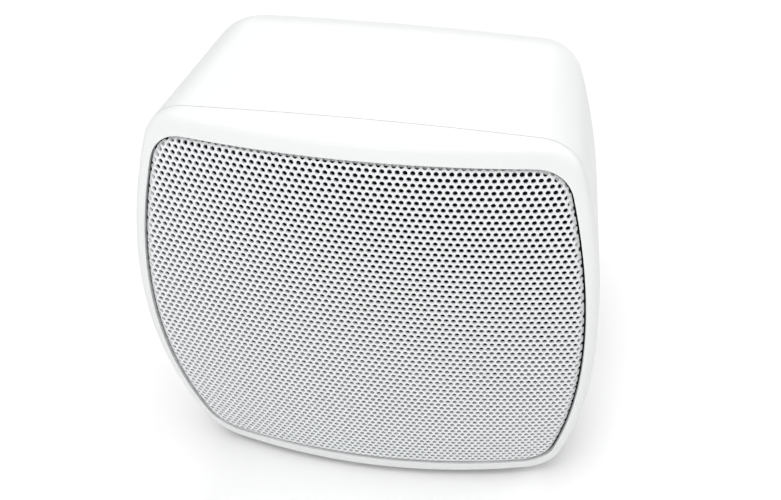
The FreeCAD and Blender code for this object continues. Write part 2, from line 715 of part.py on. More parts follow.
def main_shell():
    """Tapered shell, open at the front, with a round rear that carries panel and battery door."""
    body = new_body("main_shell", 0, at(NONE), MIDDLE)
    shell_lofts(body, "PartDesign::AdditiveLoft", "outside", NONE, S.body_depth)
    shell_lofts(body, "PartDesign::SubtractiveLoft", "inside", S.wall, INNER_REAR)
    spots = four_ways(POST_X, S.post_z)
    post_front = S.seam_depth + S.baffle + S.post_gap
    posts = circles(body, "XZ_Plane", "posts", spots, S.post_radius, -post_front)
    pad(body, posts, ROUND_START + S.post_reach - post_front)
    pilot = S.screw_radius + S.thread_play
    pilots = circles(body, "XZ_Plane", "pilots", spots, pilot, -post_front)
    pocket(body, pilots, S.screw_length)
    board_rise = S.panel_z - MIDDLE
    board_spots = [(S.board_post_x * i, board_rise) for i in (-1, 1)]
    board_posts = circles(body, "XZ_Plane", "board_posts", board_spots, S.board_post, -BOARD_REAR)
    pad(body, board_posts, INNER_REAR - BOARD_REAR + S.board_post_root)
    small_pilot = S.small_screw + S.thread_play
    holes = circles(body, "XZ_Plane", "board_pilots", board_spots, small_pilot, -BOARD_REAR)
    pocket(body, holes, S.board_screw)
    rear_window(body, "panel", S.panel_width, S.panel_height, S.panel_corner,
                S.panel_ledge, S.panel_z)
    rear_window(body, "door", DOOR_WIDTH, DOOR_HEIGHT, S.door_corner, S.door_ledge, S.door_z)
    floor = (MIDDLE - S.foot_proud) * -1
    depths = (S.front_foot, S.rear_foot)
    foot_spots = [(S.foot_x * i, depth) for i in (-1, 1) for depth in depths]
    radius = S.foot_radius + S.foot_gap
    feet = circles(body, "XY_Plane", "foot_pockets", foot_spots, radius, floor + S.foot_sunk)
    pocket(body, feet, S.foot_sunk * 2, rearwards=True)
    return body


def baffle():
    """Plate across the mouth of the shell that carries the driver."""
    body = new_body("baffle", 0, at(S.seam_depth), MIDDLE)
    sketch = new_sketch(body, "XZ_Plane", "baffle_outline", 0)
    shrink = S.wall + S.baffle_gap + S.draw_slope * S.baffle
    half_x, half_z = S.front_width / 2 - shrink, S.front_height / 2 - shrink
    pillow(sketch, half_x, half_z, S.side_bow, S.top_bow, S.corner_radius - shrink)
    pad(body, sketch, S.baffle)
    hole = circles(body, "XZ_Plane", "driver_hole", [(0, 0)], BAFFLE_HOLE)
    pocket(body, hole, S.baffle * 2)
    radius = S.screw_radius + S.screw_play
    spots = four_ways(POST_X, S.post_z)
    pocket(body, circles(body, "XZ_Plane", "post_holes", spots, radius), S.baffle * 2)
    pilot = S.small_screw + S.thread_play
    pilots = circles(body, "XZ_Plane", "driver_pilots", driver_screw_spots(), pilot)
    pocket(body, pilots, S.baffle * 2)
    return body


def driver_screw_spots():
    reach = (S.flange_radius - S.flange_width / 2) * math.sqrt(0.5)
    return four_ways(reach, reach)


def raised(spots, z=MIDDLE):
    return [(x, z + rise) for x, rise in spots]


def casing_fasteners():
    plate_front = S.seam_depth - S.plate
    screws("baffle_screws", raised(four_ways(POST_X, S.post_z)), plate_front - S.head_height,
           S.head_height, S.screw_head, S.screw_radius, S.screw_length)
    length = S.steel + S.gasket + S.baffle
    screws("driver_screws", raised(driver_screw_spots()), FLANGE_DEPTH + S.steel,
           S.small_head_height, S.small_head, S.small_screw, length, facing=-1)
    spots = [(S.board_post_x * i, S.panel_z) for i in (-1, 1)]
    screws("board_screws", spots, S.board_depth - S.small_head_height, S.small_head_height,
           S.small_head, S.small_screw, S.board_screw)


def foot_pads():
    made = []
    for i, x in enumerate((-1, 1)):
        for j, depth in enumerate((S.front_foot, S.rear_foot)):
            tall = S.foot_proud + S.foot_sunk
            made.append(cylinder(f"foot{i}{j}", S.foot_radius, tall, S.foot_x * x, at(depth), 0, "Z"))
    return keep(join("Part::Compound", "foot_pads_shape", made), "foot_pads")


# ---------------------------------------------------------------- loudspeaker driver


def driver_basket():
    """Pressed steel basket with a flat flange and round windows."""
    body = new_body("driver_basket", 0, at(FLANGE_DEPTH), MIDDLE)
    neck = S.steel_radius
    rear = S.top_plate_depth
    revolve(body, [
        (FLANGE_INNER, 0), (S.flange_radius, 0), (S.flange_radius, S.steel),
        (FLANGE_INNER, S.steel), (neck, rear), (S.gap_radius + 1, rear),
        (S.gap_radius + 1, rear - S.steel), (neck - S.steel / 2, rear - S.steel),
    ])
    centre = (FLANGE_INNER + S.steel_radius) / 2
    window = circles(body, "XZ_Plane", "window", [(centre, 0)], S.window_radius, 0)
    polar(body, pocket(body, window, S.top_plate_depth), 6)
    radius = S.small_screw + S.screw_play
    spots = driver_screw_spots()
    holes = circles(body, "XZ_Plane", "flange_holes", spots, radius, 0)
    pocket(body, holes, S.steel * 2)
    return body


def driver_gasket():
    body = new_body("driver_gasket", 0, at(FLANGE_DEPTH - S.gasket), MIDDLE)
    corners = [(GASKET_INNER, 0), (S.flange_radius, 0)]
    corners += [(S.flange_radius, S.gasket), (GASKET_INNER, S.gasket)]
    revolve(body, corners)
    radius = S.small_screw + S.screw_play
    holes = circles(body, "XZ_Plane", "gasket_holes", driver_screw_spots(), radius)
    pocket(body, holes, S.gasket * 2)
    return body


def magnet_system():
    ring("top_plate", S.gap_radius, S.steel_radius, S.top_plate_depth, MAGNET_DEPTH)
    ring("magnet", S.magnet_hole, S.magnet_radius, MAGNET_DEPTH, YOKE_DEPTH)
    body = new_body("yoke", 0, at(FLANGE_DEPTH), MIDDLE)
    rear = YOKE_DEPTH + S.yoke_plate
    front = S.top_plate_depth
    revolve(body, [
        (0, front), (S.pole_radius, front), (S.pole_radius, YOKE_DEPTH),
        (S.steel_radius, YOKE_DEPTH), (S.steel_radius, rear), (0, rear),
    ])


def moving_cone():
    """The cone, its dust cap, the former and the winding move together."""
    inner = S.former_radius - S.former_wall
    front = S.neck_depth - S.paper
    ring("coil_former", inner, S.former_radius, front, S.former_end)
    outer = S.former_radius + S.coil_wall
    ring("voice_coil", S.former_radius, outer, S.former_end - S.coil_length, S.former_end)
    body = new_body("cone", 0, at(FLANGE_DEPTH), MIDDLE)
    neck = S.former_radius
    revolve(body, [
        (CONE_RADIUS, 0), (CONE_RADIUS, S.paper), (neck, S.neck_depth),
        (neck, front),
    ])
    cap = new_body("dust_cap", 0, at(FLANGE_DEPTH), MIDDLE)
    rim = S.former_radius
    cap_front = front - S.cap_rise
    revolve(cap, [
        (0, cap_front), (rim * 0.55, cap_front + S.paper), (rim, front - S.paper),
        (rim, front), (rim - S.paper, front), (rim * 0.5, cap_front + S.paper * 2),
        (0, cap_front + S.paper),
    ])


def suspension():
    """The rolled surround at the cone's rim and the flat spider at its neck."""
    body = new_body("surround", 0, at(FLANGE_DEPTH), MIDDLE)
    middle = (SURROUND_OUTER + CONE_RADIUS) / 2
    half = (SURROUND_OUTER - CONE_RADIUS) / 2
    top = -S.roll_height
    revolve(body, [
        (CONE_RADIUS, 0), (middle - half * 0.6, top * 0.8), (middle, top),
        (middle + half * 0.6, top * 0.8), (SURROUND_OUTER, 0),
        (FLANGE_INNER + S.paper * 2, 0), (FLANGE_INNER + S.paper * 2, -S.paper),
        (SURROUND_OUTER + S.paper, -S.paper), (middle + half * 0.9, top - S.paper / 2),
        (middle, top - S.paper), (middle - half * 0.9, top - S.paper / 2),
        (CONE_RADIUS, -S.paper),
    ])
    edge = S.steel_radius - S.spider_rim
    seat = S.top_plate_depth - S.steel
    ring("spider", S.former_radius + S.spider_gap, edge, seat - S.paper, seat)


def driver_terminals():
    """Insulating strip on the flange with two solder tabs."""
    depth = FLANGE_DEPTH + S.steel
    z = MIDDLE - (S.flange_radius + FLANGE_INNER) / 2
    strip = block("strip", S.strip_width, S.gasket, S.strip_height, 0, at(depth), z)
    things = [strip]
    for i in (-1, 1):
        tab_y = at(depth + S.gasket)
        things.append(block(f"tab{i + 1}", S.strip_height, S.tab_length, S.tab_sheet,
                            S.lead_x * i, tab_y, z))
    return keep(join("Part::MultiFuse", "terminals", things), "driver_terminals")


def driver_leads():
    """Two insulated leads from the driver's tabs, behind the magnet and up to the board."""
    radius, bend = number(S.lead_radius), number(S.lead_bend)
    start = number(at(FLANGE_DEPTH + S.steel + S.gasket + S.tab_length))
    rear = number(at(FLANGE_DEPTH + YOKE_DEPTH + S.yoke_plate + S.lead_gap + S.lead_radius))
    board = number(at(S.board_depth))
    low = number(MIDDLE - (S.flange_radius + FLANGE_INNER) / 2)
    high = number(S.panel_z - S.board_height / 2 + S.lead_bend)
    half = math.sqrt(0.5) * bend
    wires = []
    for side in (-1, 1):
        x = number(S.lead_x) * side
        points = [FreeCAD.Vector(x, y, z) for y, z in (
            (start, low), (rear - bend, low), (rear - bend + half, low + bend - half),
            (rear, low + bend), (rear, high - bend), (rear + bend - half, high - bend + half),
            (rear + bend, high), (board, high))]
        edges = [
            Part.LineSegment(points[0], points[1]).toShape(),
            Part.Arc(points[1], points[2], points[3]).toShape(),
            Part.LineSegment(points[3], points[4]).toShape(),
            Part.Arc(points[4], points[5], points[6]).toShape(),
            Part.LineSegment(points[6], points[7]).toShape(),
        ]
        path = Part.Wire(edges)
        circle = Part.Circle(points[0], FreeCAD.Vector(0, 1, 0), radius).toShape()
        wires.append(path.makePipeShell([Part.Wire(circle)], True, False))
    thing = doc.addObject("Part::Feature", "driver_leads_shape")
    thing.Shape = Part.makeCompound(wires)
    return keep(thing, "driver_leads")


# ---------------------------------------------------------------- rear controls


def panel_holes(body):
    """Every hole of the control panel: shaft, buttons, lens, microphone, jack, charging port."""
    def spot(x, z):
        return [(x, z - S.panel_z)]

    rounds = [
        ("shaft_hole", spot(S.knob_x, S.knob_z), S.bush_radius + S.button_gap),
        ("talk_hole", spot(S.talk_x, S.talk_z), S.talk_radius + S.button_gap),
        ("power_hole", spot(S.power_x, S.power_z), S.power_radius + S.button_gap),
        ("lens_hole", spot(S.lens_x, S.lens_z), S.lens_radius + S.seat_gap),
        ("jack_hole", spot(S.jack_x, S.jack_z), S.jack_barrel + S.seat_gap),
    ]
    ports = [(S.mic_x, S.mic_z - S.panel_z)]
    for i in range(4):
        angle = math.radians(45 + 90 * i)
        x = S.mic_x + S.mic_step * math.cos(angle)
        ports.append((x, S.mic_z - S.panel_z + S.mic_step * math.sin(angle)))
    rounds.append(("mic_ports", ports, S.mic_port))
    for name, spots, radius in rounds:
        pocket(body, circles(body, "XZ_Plane", name, spots, radius), S.panel_sheet * 2)
    width, height = S.usb_width + S.door_gap * 2, S.usb_height + S.door_gap * 2
    slot = rectangle(body, "XZ_Plane", "usb_slot", width, height, 0, S.usb_x, S.usb_z - S.panel_z)
    pocket(body, slot, S.panel_sheet * 2)


def control_panel():
    body = new_body("control_panel", 0, at(RECESS_FLOOR + S.seal), S.panel_z)
    width, height = S.panel_width - S.door_gap * 2, S.panel_height - S.door_gap * 2
    corner = S.panel_corner - S.door_gap
    sketch = rounded_sketch(body, "panel_outline", width, height, corner, NONE, NONE)
    pad(body, sketch, S.panel_sheet)
    panel_holes(body)
    seal = new_body("panel_seal", 0, at(RECESS_FLOOR), S.panel_z)
    pad(seal, rounded_sketch(seal, "seal_outline", width, height, corner, NONE, NONE), S.seal)
    inset = S.panel_ledge - S.door_gap
    inner = rounded_sketch(
        seal, "seal_inside", width - inset * 2, height - inset * 2, corner - inset, NONE, NONE)
    pocket(seal, inner, S.seal * 2)


def circuit_board():
    body = new_body("circuit_board", 0, at(S.board_depth), S.panel_z)
    pad(body, rectangle(body, "XZ_Plane", "board_outline", S.board_width, S.board_height), S.board)
    spots = [(S.board_post_x * i, NONE) for i in (-1, 1)]
    radius = S.small_screw + S.screw_play
    pocket(body, circles(body, "XZ_Plane", "board_holes", spots, radius), S.board * 2)
    chip_y = at(S.board_depth - S.chip_height)
    chip = block("chip", S.chip_side, S.chip_height, S.chip_side, S.chip_x, chip_y, S.panel_z)
    keep(chip, "amplifier_chip")
    cans = []
    for i in (-1, 1):
        z = S.panel_z + S.can_step / 2 * i
        can_y = at(S.board_depth - S.can_height)
        cans.append(cylinder(f"can{i + 1}", S.can_radius, S.can_height, S.can_x, can_y, z))
    keep(join("Part::Compound", "cans", cans), "filter_capacitors")


def volume_control():
    """Housing with a bush on the board, and the shaft and knob that turn in it."""
    y = at(BOARD_REAR)
    housing = block("pot_block", S.pot_side, S.pot_depth, S.pot_side, S.knob_x, y, S.knob_z)
    bush_end = PANEL_FACE + S.knob_clear / 2
    bush_y = at(BOARD_REAR + S.pot_depth)
    bush_length = bush_end - BOARD_REAR - S.pot_depth
    bush = cylinder("pot_bush", S.bush_radius, bush_length, S.knob_x, bush_y, S.knob_z)
    bored = S.shaft_radius + S.shaft_fit
    hole = cylinder("pot_hole", bored, bush_length * 2, S.knob_x, bush_y - S.pot_bore, S.knob_z)
    outside = join("Part::MultiFuse", "pot_outside", [housing, bush])
    keep(cut("pot_shape", outside, hole), "volume_control")
    knob_front = PANEL_FACE + S.knob_clear
    knob_end = S.body_depth + S.knob_proud
    shaft_start = BOARD_REAR + S.pot_depth - S.pot_bore + S.seat_gap
    shaft_end = knob_end - S.knob_top
    keep(cylinder("shaft", S.shaft_radius, shaft_end - shaft_start,
                  S.knob_x, at(shaft_start), S.knob_z), "volume_shaft")
    body = new_body("volume_knob", S.knob_x, at(knob_front), S.knob_z)
    length = knob_end - knob_front
    bore = S.shaft_radius
    bush_room = S.bush_radius + S.door_gap
    revolve(body, [
        (bush_room, 0), (S.knob_radius, 0), (S.knob_radius, length - S.knob_crown),
        (S.knob_radius - S.knob_crown, length), (0, length), (0, length - S.knob_top),
        (bore, length - S.knob_top), (bore, S.bush_room), (bush_room, S.bush_room),
    ])
    mark = rectangle(body, "XZ_Plane", "knob_mark", S.mark_width, S.mark_length,
                     -length, NONE, S.knob_radius - S.knob_crown - S.mark_length / 2)
    pocket(body, mark, S.mark_depth, rearwards=False)


def push_button(label, x, z, radius, travel):
    """A cap with a retaining rim behind the panel and a stem to its switch."""
    rim_front = RECESS_FLOOR + S.seal - S.button_rim
    body = new_body(label, x, at(rim_front), z)
    top = PANEL_FACE + S.button_proud - rim_front
    rim = radius + S.rim_reach
    stem = rim_front - BOARD_REAR - S.switch_height - travel - S.switch_clear
    revolve(body, [
        (0, -stem), (S.stem_radius, -stem), (S.stem_radius, 0), (rim, 0),
        (rim, S.button_rim - S.seat_gap), (radius, S.button_rim - S.seat_gap),
        (radius, top - S.button_edge), (radius - S.button_edge, top), (0, top),
    ])
    side = S.switch_side
    switch = block(label + "_base", side, S.switch_height, side, x, at(BOARD_REAR), z)
    keep(switch, label.replace("button", "switch"))


def microphone():
    front = RECESS_FLOOR + S.seal - S.mic_height
    keep(cylinder("capsule", S.mic_radius, S.mic_height, S.mic_x, at(front), S.mic_z),
         "microphone_capsule")
    body = new_body("microphone_boot", S.mic_x, at(front - S.boot_wall), S.mic_z)
    outer = S.mic_radius + S.boot_wall
    length = S.mic_height + S.boot_wall
    revolve(body, [
        (0, 0), (outer, 0), (outer, length), (S.mic_radius, length),
        (S.mic_radius, S.boot_wall), (0, S.boot_wall),
    ])


def headset_jack():
    """Socket for a 3.5 mm plug: a housing on the board with a barrel through the panel."""
    y = at(BOARD_REAR)
    front = RECESS_FLOOR + S.seal - S.seat_gap
    side = S.jack_side
    housing = block("jack_block", side, front - BOARD_REAR, side, S.jack_x, y, S.jack_z)
    barrel = cylinder("jack_tube", S.jack_barrel, PANEL_FACE - front, S.jack_x, at(front), S.jack_z)
    bore_start = BOARD_REAR + S.jack_end
    length = PANEL_FACE - bore_start
    bore = cylinder("jack_hole_tool", S.jack_bore, length * 2, S.jack_x, at(bore_start), S.jack_z)
    outside = join("Part::MultiFuse", "jack_outside", [housing, barrel])
    keep(cut("jack_shape", outside, bore), "headset_jack")


def charging_port():
    start = PANEL_FACE - S.usb_depth
    outside = block("usb_outside", S.usb_width, S.usb_depth, S.usb_height,
                    S.usb_x, at(start), S.usb_z)
    width, height = S.usb_width - S.usb_wall * 2, S.usb_height - S.usb_wall * 2
    inside = block("usb_inside", width, S.usb_depth, height, S.usb_x, at(start + S.usb_wall), S.usb_z)
    hollow = cut("usb_shell", outside, inside)
    tongue = block("usb_tongue", S.tongue_width, S.usb_depth - S.tongue_back, S.tongue_sheet,
                   S.usb_x, at(start), S.usb_z)
    foot = block("usb_foot", S.usb_width, start - BOARD_REAR + S.usb_wall, S.usb_height,
                 S.usb_x, at(BOARD_REAR), S.usb_z)
    keep(join("Part::MultiFuse", "usb_shape", [hollow, tongue, foot]), "charging_port")


def status_light():
    side = S.led_side
    keep(block("led", side, side, side, S.lens_x, at(BOARD_REAR), S.lens_z), "status_led")
    front = BOARD_REAR + side + S.lens_gap
    lens = cylinder("lens", S.lens_radius, PANEL_FACE - front, S.lens_x, at(front), S.lens_z)
    keep(lens, "status_lens")


# ---------------------------------------------------------------- battery


def battery_bay():
    """Tray behind the battery door with one rechargeable cell and its two contacts."""
    half_x = TRAY_WIDTH / 2
    front = INNER_REAR - TRAY_HEIGHT - S.tray_wall
    body = new_body("battery_tray", 0, at(front), S.door_z)
    width, height = TRAY_WIDTH + S.tray_wall * 2, TRAY_HEIGHT + S.tray_wall * 2
    depth = INNER_REAR - front
    pad(body, rectangle(body, "XZ_Plane", "tray_outside", width, height), depth)
    inner = rectangle(body, "XZ_Plane", "tray_inside", TRAY_WIDTH, TRAY_HEIGHT, -S.tray_wall)
    pocket(body, inner, depth)
    cell_y = at(front + S.tray_wall + TRAY_HEIGHT / 2)
    cell = new_body("battery_cell", S.cell_length / -2, cell_y, S.door_z)
    round_cell(cell)
    return front, half_x, cell_y


def round_cell(body):
    """A cell along X with a raised positive end."""
    sketch = outline(body, "XZ_Plane", "cell_profile", [
        (0, 0), (0, S.cell_radius), (S.cell_length - S.nub_height, S.cell_radius),
        (S.cell_length - S.nub_height, S.nub_radius), (S.cell_length, S.nub_radius),
        (S.cell_length, 0),
    ])
    feature = body.newObject("PartDesign::Revolution", "cell_turned")
    feature.Profile = sketch
    feature.ReferenceAxis = (sketch, ["H_Axis"])
    feature.Angle = 360
    doc.recompute()


def battery_contacts(half_x, cell_y):
    """A flat plate at the positive end and a plate with a conical spring at the other."""
    side = S.contact_side
    plate_y = cell_y - side / 2
    x = half_x - S.contact / 2
    plate = block("plus_plate", S.contact, side, side, x, plate_y, S.door_z)
    length = S.contact_space - S.contact - S.seat_gap
    boss_x = half_x - S.contact - length
    boss = cylinder("plus_boss", S.boss_radius, length, boss_x, cell_y, S.door_z, "X")
    keep(join("Part::MultiFuse", "plus_shape", [plate, boss]), "positive_contact")
    plate = block("minus_plate", S.contact, side, side, -x, plate_y, S.door_z)
    spring = doc.addObject("Part::Cone", "minus_spring")
    bind(spring, "Radius1", S.spring_base)
    bind(spring, "Radius2", S.spring_tip)
    bind(spring, "Height", length)
    spring.Placement.Rotation = FreeCAD.Rotation(FreeCAD.Vector(0, 1, 0), 90)
    place(spring, S.contact - half_x, cell_y, S.door_z)
    keep(join("Part::MultiFuse", "minus_shape", [plate, spring]), "negative_contact")


def battery_door():
    """Snap-in cover with a locating rib and a finger scoop."""
    body = new_body("battery_door", 0, at(S.body_depth - S.door_sheet), S.door_z)
    width, height = DOOR_WIDTH - S.door_gap * 2, DOOR_HEIGHT - S.door_gap * 2
    corner = S.door_corner - S.door_gap
    pad(body, rounded_sketch(body, "door_outline", width, height, corner, NONE, NONE), S.door_sheet)
    inset = S.door_ledge + S.door_gap
    rib_width, rib_height = DOOR_WIDTH - inset * 2, DOOR_HEIGHT - inset * 2
    rib_corner = S.door_corner - inset
    rib = rounded_sketch(body, "door_rib", rib_width, rib_height, rib_corner, NONE, NONE)
    pad(body, rib, S.door_rib, rearwards=False)
    hollow = rounded_sketch(body, "door_rib_inside", rib_width - S.rib_wall * 2,
                            rib_height - S.rib_wall * 2, rib_corner - S.rib_wall,
                            S.door_rib, NONE)
    pocket(body, hollow, S.door_rib)
    scoop_z = height / 2 - S.scoop_height * 2
    scoop = rectangle(body, "XZ_Plane", "scoop", S.scoop_width, S.scoop_height,
                      -S.door_sheet, NONE, scoop_z)
    pocket(body, scoop, S.scoop_depth, rearwards=False)


def battery():
    front, half_x, cell_y = battery_bay()
    battery_contacts(half_x, cell_y)
    battery_door()


# ---------------------------------------------------------------- assembly and export


def check_and_export():
    """Stops on a failed or invalid object, then writes each sub-part to parts/LABEL.step."""
    doc.recompute()
    failed = [o.Label for o in doc.Objects if {"Invalid", "Error"} & set(o.State)]
    if failed:
        raise RuntimeError(f"failed objects: {failed}")
    os.makedirs("parts", exist_ok=True)
    for thing in subparts:
        if thing.Shape.isNull() or not thing.Shape.isValid() or not thing.Shape.Solids:
            raise RuntimeError(f"{thing.Label} has no valid solid")
        thing.Shape.exportStep(f"parts/{thing.Label}.step")
    print(len(subparts), "sub-parts")


front_bezel()
grille_sheets()
baffle()
main_shell()
casing_fasteners()
foot_pads()
driver_gasket()
driver_basket()
magnet_system()
moving_cone()
suspension()
driver_terminals()
driver_leads()
control_panel()
circuit_board()
volume_control()
push_button("talk_button", S.talk_x, S.talk_z, S.talk_radius, S.talk_travel)
push_button("power_button", S.power_x, S.power_z, S.power_radius, S.power_travel)
microphone()
headset_jack()
charging_port()
status_light()
battery()
check_and_export()
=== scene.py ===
import json
import math

import bmesh
import bpy
from mathutils import Matrix, Vector
from mathutils.geometry import delaunay_2d_cdt
from mathutils.kdtree import KDTree


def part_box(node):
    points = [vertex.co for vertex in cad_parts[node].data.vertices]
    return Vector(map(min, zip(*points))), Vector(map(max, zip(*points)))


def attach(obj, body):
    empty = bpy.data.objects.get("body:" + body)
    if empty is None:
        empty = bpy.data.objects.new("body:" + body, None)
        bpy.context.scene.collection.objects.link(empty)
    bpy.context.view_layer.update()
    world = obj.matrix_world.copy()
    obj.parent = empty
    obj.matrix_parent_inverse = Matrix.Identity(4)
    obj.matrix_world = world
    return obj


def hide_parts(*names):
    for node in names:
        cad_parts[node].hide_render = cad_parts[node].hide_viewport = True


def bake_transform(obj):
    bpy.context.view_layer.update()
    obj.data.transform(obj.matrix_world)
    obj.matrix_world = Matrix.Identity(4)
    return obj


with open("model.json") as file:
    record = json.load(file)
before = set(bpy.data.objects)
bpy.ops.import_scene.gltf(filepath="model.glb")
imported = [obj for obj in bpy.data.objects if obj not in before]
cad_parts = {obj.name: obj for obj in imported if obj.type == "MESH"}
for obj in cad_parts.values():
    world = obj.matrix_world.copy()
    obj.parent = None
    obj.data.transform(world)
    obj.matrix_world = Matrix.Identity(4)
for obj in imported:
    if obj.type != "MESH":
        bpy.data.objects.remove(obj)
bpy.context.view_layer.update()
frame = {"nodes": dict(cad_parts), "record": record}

MM = 0.001
MIXED_COLOUR = 2  # a Mix node's colour output

# ---------------------------------------------------------------- sizes, in millimetres

# The recess in the front and the dome of the sheet in it, as the part has them.
GRILLE_LOW, GRILLE_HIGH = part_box("grille")
GRILLE_X = (GRILLE_HIGH.x - GRILLE_LOW.x) / 2 / MM
GRILLE_Z = (GRILLE_HIGH.z - GRILLE_LOW.z) / 2 / MM
GRILLE_MIDDLE = (GRILLE_HIGH.z + GRILLE_LOW.z) / 2 / MM
GRILLE_FRONT = GRILLE_LOW.y / MM
SIDE_BOW = 146.4  # radius of the outline's left and right sides
TOP_BOW = 940.0  # radius of its top and bottom
GRILLE_CORNER = 8.2
SAG_SIDE = 4.45  # the dome falls back this far at the middle of its sides,
SAG_TOP = 4.4  # this far at the middle of its top and bottom,
SAG_TWIST = 2.6  # and by the sum of all three at its corners
SHEET = 0.5

# How the sheet lies in its recess.
GRILLE_PLAY = 0.22
GRILLE_DROP = 0.2  # it rests on the lower side
GRILLE_SLIDE = 0.13  # and lies a little to the left

# The sheet is punched in staggered rows before it is pressed.
PITCH = 1.5
ROW = PITCH * math.sqrt(3) / 2
HOLE_RADIUS = 0.525
HOLE_CORNERS = 10
FIRST_HOLE = (-0.12, 0.5)
JOIN = 1e-5  # points of the mesh nearer than this are one
INSIDE = 1  # asks the triangulation only for what lies inside the border

# The sheet's rolled border.
FOLD_RADIUS = 1.6
FOLD_TURN = math.radians(58)
FOLD_RINGS = 6  # loops of the mesh across it
RIM_STEP = 0.6  # from point to point along the rim
FOLD_STEP = 0.87  # and along the loops inside it

# The cloth behind the sheet.
CLOTH_DEPTH = 0.65
CLOTH_STEP = 2.5
CLOTH_RINGS = 18
CLOTH_EDGE = (0.955, 0.965, 0.975, 0.985, 1)  # close rings that follow the rolled border
PINCH = 0.05  # depth of the edge that the border holds

# The spider's disc.
SPIDER_PLAY = 0.05
SPIDER_SHEET = 0.2
SPIDER_RISE = 0.9
SPIDER_WAVES = 5
SPIDER_WAVE = 0.18
SPIDER_STEPS = 40
SPIDER_SPOKES = 96

# The volume knob's grip.
KNOB_CROWN = 0.7  # rounding of its edge
KNOB_CROWN_STEPS = 6
KNOB_CHAMFER = 0.15  # at the foot of its skirt
KNOB_BORE = 4.0
KNOB_BORE_DEPTH = 1.5
KNOB_RIM = 0.6  # flat ring round the dish
KNOB_SLOPE = 0.4  # width of the dish's side
KNOB_DISH = 0.3
KNOB_DISH_MIDDLE = 1.5
KNOB_FLUTES = 30
KNOB_FLUTE = 0.35
FLUTE_STEPS = 10

# The volume scale: ticks that grow longer clockwise.
TICKS = 11
TICK_TURN = 30  # degrees
TICK_START = 8.5
TICK_END = 9.2
TICK_GROWTH = 0.06


# ---------------------------------------------------------------- camera, floor and light

CAMERA_PLACE = (46.87, -191.72, 163.12)  # from the middle of the grille
CAMERA_HEADING = 5.566  # degrees
CAMERA_TILT = 40.031  # degrees below level
CAMERA_ROLL = 2.03
SENSOR = 36.0
LENS = 48.772
SHIFT = -0.153

FLOOR_REACH = 3.0  # metres
SKY_LIGHT = 0.32
WHITE = (1, 1, 1, 1)
AIM = (0, 0, 0.05)  # metres
SOFT_BOXES = (
    # name, place in metres, width in metres, power in watts
    ("key", (-0.1, -1.2, 1.7), 1.3, 9),
    ("low_front", (-0.2, -1.6, 0.28), 0.5, 4.6),
    ("back", (-0.3, 1.5, 1.3), 1.2, 6),
    ("overhead", (-0.05, -0.45, 2.2), 1.6, 32.5),
    ("fill", (1.35, 0.7, 0.9), 1.2, 8),
)


def add_object(name, data):
    thing = bpy.data.objects.new(name, data)
    bpy.context.scene.collection.objects.link(thing)
    return thing


def add_camera():
    lens = bpy.data.cameras.new("camera")
    lens.sensor_width = SENSOR
    lens.lens = LENS
    lens.shift_x = SHIFT
    lens.clip_start = 0.01
    camera = add_object("camera", lens)
    heading = Matrix.Rotation(math.radians(CAMERA_HEADING), 4, "Z")
    tilt = Matrix.Rotation(math.radians(90 - CAMERA_TILT), 4, "X")
    roll = Matrix.Rotation(math.radians(CAMERA_ROLL), 4, "Z")
    x, y, z = CAMERA_PLACE
    stand = Vector((x, y, z + GRILLE_MIDDLE)) * MM
    camera.matrix_world = Matrix.Translation(stand) @ heading @ tilt @ roll
    bpy.context.scene.camera = camera


def add_soft_box(name, where, size, power):
    lamp = bpy.data.lights.new(name, "AREA")
    lamp.shape = "DISK"
    lamp.size = size
    lamp.energy = power
    box = add_object(name, lamp)
    box.location = where
    box.rotation_euler = (Vector(AIM) - Vector(where)).to_track_quat("-Z", "Y").to_euler()


def add_studio():
    """A seamless pale floor under soft boxes and an even sky."""
    bpy.context.scene.view_settings.view_transform = "Standard"
    world = bpy.data.worlds.new("studio")
    world.use_nodes = True
    sky = world.node_tree.nodes["Background"]
    sky.inputs["Color"].default_value = WHITE
    sky.inputs["Strength"].default_value = SKY_LIGHT
    bpy.context.scene.world = world
    sheet = bpy.data.meshes.new("floor")
    corners = [(x * FLOOR_REACH, y * FLOOR_REACH, 0) for x, y in
               ((-1, -1), (1, -1), (1, 1), (-1, 1))]
    sheet.from_pydata(corners, [], [(0, 1, 2, 3)])
    floor = add_object("floor", sheet)
    floor.data.materials.append(paper_backdrop())
    for box in SOFT_BOXES:
        add_soft_box(*box)


# ---------------------------------------------------------------- material helpers


def linear(code):
    """An sRGB colour such as 'f4f3f1' as linear red, green, blue and alpha."""
    shares = [int(code[i:i + 2], 16) / 255 for i in (0, 2, 4)]
    return [s / 12.92 if s <= 0.04045 else ((s + 0.055) / 1.055) ** 2.4 for s in shares] + [1.0]


def per(millimetres):
    """Texture scale that gives features of this width in a model in metres."""
    return 1 / (millimetres * MM)


def add_node(tree, kind, inputs=None, **settings):
    """Adds a node with its settings. Inputs are values, or the outputs of other nodes."""
    made = tree.nodes.new("ShaderNode" + kind)
    for name, value in settings.items():
        setattr(made, name, value)
    sockets = {socket.identifier: socket for socket in made.inputs}
    for name, value in (inputs or {}).items():
        if isinstance(value, bpy.types.NodeSocket):
            tree.links.new(value, sockets[name])
        else:
            sockets[name].default_value = value
    return made


def new_material(name, **shader):
    """A material with its shader's uniform values set, its node tree, and object coordinates."""
    material = bpy.data.materials.new(name)
    material.use_nodes = True
    tree = material.node_tree
    principled = tree.nodes["Principled BSDF"]
    for socket, value in shader.items():
        principled.inputs[socket.replace("_", " ")].default_value = value
    place = tree.nodes.new("ShaderNodeTexCoord").outputs["Object"]
    return material, tree, principled, place


